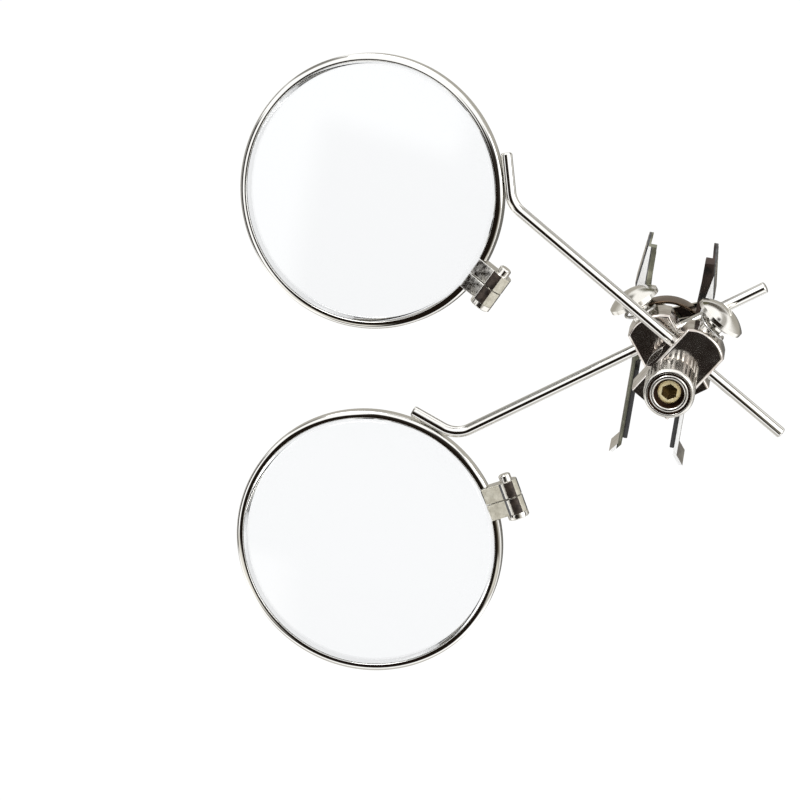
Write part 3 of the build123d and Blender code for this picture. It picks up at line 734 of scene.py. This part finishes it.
# %% Knurled nut
NUT_RADIUS, NUT_HEIGHT, NUT_FIT, NUT_ROLL, NUT_BORE = 2.45, 3.8, 0.05, 0.35, 1.125
RING_OUT, RING_IN, RING_DEPTH, CUP_RADIUS, CUP_DEPTH, LAND_ROLL = 2.05, 1.85, 0.2, 1.45, 0.7, 0.12
FLUTES, FLUTE_DEPTH, FLUTE_WIDTH, FLUTE_END, FLUTE_FADE = 30, 0.09, 0.2, 3.35, 0.3
BACK_EDGE, RING_EDGE, SLACK = 0.08, 0.02, 0.01


def nut_profile():
    """Radius and height. The front edge is a quarter circle and the land half an ellipse."""
    t = np.linspace(0.0, math.pi / 2, 9)
    edge_radius = NUT_RADIUS - NUT_ROLL * (1 - np.cos(t))
    edge = np.stack([edge_radius, NUT_HEIGHT - NUT_ROLL * (1 - np.sin(t))], axis=1)
    u = np.linspace(0.0, math.pi, 15)
    middle, half = (RING_IN + CUP_RADIUS) / 2, (RING_IN - CUP_RADIUS) / 2
    land = np.stack([middle + half * np.cos(u), NUT_HEIGHT - LAND_ROLL * (1 - np.sin(u))], axis=1)
    side = [(NUT_BORE, NUT_FIT), (NUT_RADIUS - BACK_EDGE, NUT_FIT), (NUT_RADIUS, NUT_FIT + BACK_EDGE),
            (NUT_RADIUS, FLUTE_END - FLUTE_FADE), (NUT_RADIUS, FLUTE_END)]
    groove = [(RING_OUT + RING_EDGE, NUT_HEIGHT), (RING_OUT, NUT_HEIGHT - RING_EDGE),
              (RING_OUT, NUT_HEIGHT - RING_DEPTH), (RING_IN, NUT_HEIGHT - RING_DEPTH)]
    cup = [(CUP_RADIUS, NUT_HEIGHT - CUP_DEPTH), (NUT_BORE, NUT_HEIGHT - CUP_DEPTH)]
    return np.concatenate([side, edge, groove, land, cup])


profile = nut_profile()
angles = np.linspace(0.0, 2 * math.pi, FLUTES * 16, endpoint=False)
nut_grid = turned(profile, angles)
pitch = 2 * math.pi * NUT_RADIUS / FLUTES
from_flute = np.abs((angles * FLUTES / (2 * math.pi) + 0.5) % 1.0 - 0.5) * pitch
ripple = np.clip(1 - from_flute / (FLUTE_WIDTH / 2), 0.0, 1.0)[:, None]
outside = np.clip((FLUTE_END - profile[:, 1]) / FLUTE_FADE, 0.0, 1.0) * (profile[:, 0] > RING_OUT + 0.2)
nut_grid[..., :2] *= (1 - FLUTE_DEPTH * ripple * outside[None, :] / profile[None, :, 0])[..., None]
nut_foot = np.array([STUD_X, ARMS["front"]["face"], STUD_Z])
nut_axes = (nut_foot, np.array([1.0, 0.0, 0.0]), np.array([0.0, 0.0, 1.0]), FORWARD)
nut = skin("fluted_nut", placed(nut_grid, nut_axes), wrap_path=True)
settle(nut, "knurled_nut", sharp=40.0)
# Painted shade: the cup round the stud and the ring groove take a dark second finish on their faces.
nut.data.materials.append(FINISHES["painted_recess_shade"])
centres = np.zeros(len(nut.data.polygons) * 3)
nut.data.polygons.foreach_get("center", centres)
local = centres.reshape(-1, 3) / MM - nut_foot
out, rise = np.hypot(local[:, 0], local[:, 2]), -local[:, 1]
in_cup = out < CUP_RADIUS + SLACK
in_ring = (out > RING_IN - SLACK) & (out < RING_OUT + SLACK)
below_face = (rise > NUT_HEIGHT - CUP_DEPTH - SLACK) & (rise < NUT_HEIGHT - LAND_ROLL / 2)
nut.data.polygons.foreach_set("material_index", (below_face & (in_cup | in_ring)).astype(np.int32))
print("nut faces", len(nut.data.polygons))

# %% [markdown]
# ## Sheet, lugs, screws and levers
# The other pieces are flat sheet and small turned parts whose CAD shape is already right. A
# copy of each is merged into one skin and its edges are broken by a few hundredths of a
# millimetre. That tiny bevel is what makes cut sheet look like metal: it catches the light
# along every edge.

# %% Edged copies


def edged(node, width, segments=2, angle=30.0):
    """A merged copy of a CAD node with a narrow bevel on every edge sharper than the angle."""
    work = bmesh.new()
    work.from_mesh(frame["nodes"][node].data)
    bmesh.ops.remove_doubles(work, verts=work.verts, dist=1e-6)
    bmesh.ops.dissolve_limit(work, angle_limit=math.radians(1.0), verts=work.verts, edges=work.edges)
    mesh = bpy.data.meshes.new(f"{node}_edged")
    work.to_mesh(mesh)
    work.free()
    piece = bpy.data.objects.new(f"{node}_edged", mesh)
    scene.collection.objects.link(piece)
    bevel = piece.modifiers.new("edges", "BEVEL")
    bevel.width, bevel.segments, bevel.angle_limit = width * MM, segments, math.radians(angle)
    bevel.use_clamp_overlap, bevel.harden_normals = True, True
    settle(piece, node, sharp=angle)
    return piece


# %% [markdown]
# ## Faces with painted light and shade
# Some pieces change colour from face to face, and here that colour is painted reflection and shade. Such a
# piece is first scored along a few planes, where the change falls within a face, and then a small function
# looks at each face's centre and direction and picks its finish. The shape stays as it was.

# %% Dressing


def dress(piece, cuts, finishes, pick):
    """Scores the mesh along planes (point, normal) in millimetres, and gives each face the
    finish whose number pick returns for its centre and normal. Number 0 is the piece's own."""
    work = bmesh.new()
    work.from_mesh(piece.data)
    for point, normal in cuts:
        everything = [*work.verts, *work.edges, *work.faces]
        bmesh.ops.bisect_plane(work, geom=everything, plane_co=np.array(point) * MM, plane_no=normal)
    for face in work.faces:
        face.material_index = pick(np.array(face.calc_center_median()) / MM, np.array(face.normal))
    work.to_mesh(piece.data)
    work.free()
    for name in finishes:
        piece.data.materials.append(FINISHES[name])


# %% [markdown]
# Each handle of the clip is a narrow channel that is seen almost from its open side. Its bands
# are painted reflections and shade: from the middle outwards a dull inner band, a dark line where the
# sheet is folded, the pale far side, and a dark outer edge line. All these borders lean with the handle's
# taper.

# %% Handles
HANDLE_ROOT, HANDLE_REACH, HANDLE_SLOPE, BAND_RISE = 12.0, 3.9, 0.55 / 4.7, 2.4
CHEEK_END, CHEEK_REACH = 15.2, 3.45
STRIPES = {  # side, inner band's edge at the root and BAND_RISE above it, dark line, outer strip, finish
    "clip_fixed_lever": (1.0, (3.05, 3.50), 0.0, 0.17, "painted_dark_inner_band"),
    "clip_moving_lever": (-1.0, (2.86, 2.86), 0.11, 0.21, "painted_olive_band"),
}


def stripe_lever(piece, node):
    """A border x = edge + lean z is a plane through (edge, 0, root) with the normal (1, 0, -lean)."""
    side, (low_edge, high_edge), line, strip, inner = STRIPES[node]
    lean = (high_edge - low_edge) / BAND_RISE
    borders = ((low_edge, lean), (low_edge + line, lean), (HANDLE_REACH - strip, -HANDLE_SLOPE))
    cuts = [((side * edge, 0.0, HANDLE_ROOT), (side, 0.0, -slope)) for edge, slope in borders]

    def pick(centre, normal):
        x, z = abs(centre[0]), centre[2] - HANDLE_ROOT
        ending = z > CHEEK_END - HANDLE_ROOT and x < CHEEK_REACH and normal[2] > 0.2
        if abs(normal[1]) < 0.5 and not ending:
            return 0
        if x > HANDLE_REACH - strip - HANDLE_SLOPE * z:
            return 3
        if x < low_edge + lean * z or ending:
            return 1
        return 3 if x < low_edge + line + lean * z else 2

    # Painted reflections and shade: the inner band, the pale far side and the dark lines.
    dress(piece, cuts, [inner, "painted_pale_side", "painted_dark_line"], pick)


# %% [markdown]
# A lug is a flat tongue with a barrel at its end, and its pale and dark tones are painted
# reflections. The barrel's tone follows how far its surface
# has turned from the front of the lens, in degrees.

# %% Lugs
LUG_SPLIT_RADIUS = 13.95
LUG_TONES = {  # number of the tongue's finish, and (limit of the turn, number) round the barrel
    "front": (0, [(15.0, 2), (75.0, 1), (360.0, 3)]),
    "rear": (1, [(-25.0, 3), (-8.0, 0), (42.0, 2), (80.0, 1), (360.0, 3)]),
}


def tone_lug(piece, arm):
    """The turn is atan2(normal . outward, normal . z). The flat sides and the back stay as they are."""
    origin, x, y, z = rim_axes(arm)
    lug = math.radians(ARMS[arm]["lug"])
    outward = x * math.cos(lug) + y * math.sin(lug)
    along = np.cross(z, outward)
    tongue, barrel = LUG_TONES[arm]

    def pick(centre, normal):
        if abs(normal @ along) > 0.7 or normal @ z < -0.3:
            return 0
        if (centre - origin) @ outward < LUG_SPLIT_RADIUS:
            return tongue
        turn = math.degrees(math.atan2(normal @ outward, normal @ z))
        return next(tone for limit, tone in barrel if turn < limit)

    # Painted reflections: pale and dark bands picked by the way each face turns.
    dress(piece, [], ["painted_pale_band", "painted_dark_band", "painted_dark_line"], pick)


# %% [markdown]
# The stud's hexagon socket is painted dark as shade, from just under its rim to its floor.

# %% Socket
STUD_END = ARMS["front"]["face"] - NUT_HEIGHT + CUP_DEPTH
SOCKET_RADIUS, SOCKET_DEPTH, SOCKET_LIP = 0.82, 1.25, 0.1


def in_socket(centre, normal):
    """1 for a face within the socket's radius and depth that isn't the stud's flat end."""
    close = math.hypot(centre[0] - STUD_X, centre[2] - STUD_Z) < SOCKET_RADIUS
    flat_end = normal[1] < -0.9 and centre[1] < STUD_END + SOCKET_LIP
    return int(close and centre[1] < STUD_END + SOCKET_DEPTH and not flat_end)


# %% [markdown]
# Now each piece gets its edged copy. The bevel's width is in millimetres. Lugs, holders and
# levers also change from the shared nickel plate to one of their own.

# %% All edged pieces
EDGES = {
    "clip_fixed_lever": 0.07, "clip_moving_lever": 0.07, "fixed_jaw_pad": 0.10, "moving_jaw_pad": 0.10,
    "clip_hinge_pin": 0.05, "pivot_stud": 0.14, "front_spacer": 0.04, "rear_spacer": 0.06,
}
for arm in ARMS:
    EDGES.update({f"{arm}_wire_holder": 0.06, f"{arm}_rim_lug_plain": 0.06, f"{arm}_rim_lug_tapped": 0.06,
                  f"{arm}_rim_screw": 0.04, f"{arm}_release_button": 0.08})
PLATES = {"rim_lug": "blasted_nickel", "wire_holder": "holder_plate", "lever": "lever_plate"}
for node, width in EDGES.items():
    piece = edged(node, width)
    for part, plate in PLATES.items():
        if part in node:
            piece.data.materials[0] = FINISHES[plate]
    if "rim_lug" in node:
        tone_lug(piece, node.split("_")[0])
    elif "lever" in node:
        stripe_lever(piece, node)
    elif node == "pivot_stud":
        # Painted shade inside the hexagon socket.
        dress(piece, [], ["painted_socket_shade"], in_socket)
print("edged copies", len(EDGES))

# %% [markdown]
# ## Finish
# The last cell prints the CAD box and the box of what is shown, so that the two can be
# compared.

# %% Sizes
visual_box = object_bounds()
boxes = {"cad": cad_box, "visual": visual_box}
boxes = {name: [list(map(float, corner)) for corner in box] for name, box in boxes.items()}
for name, box in boxes.items():
    print(name, "box", [[round(v / MM, 2) for v in corner] for corner in box])
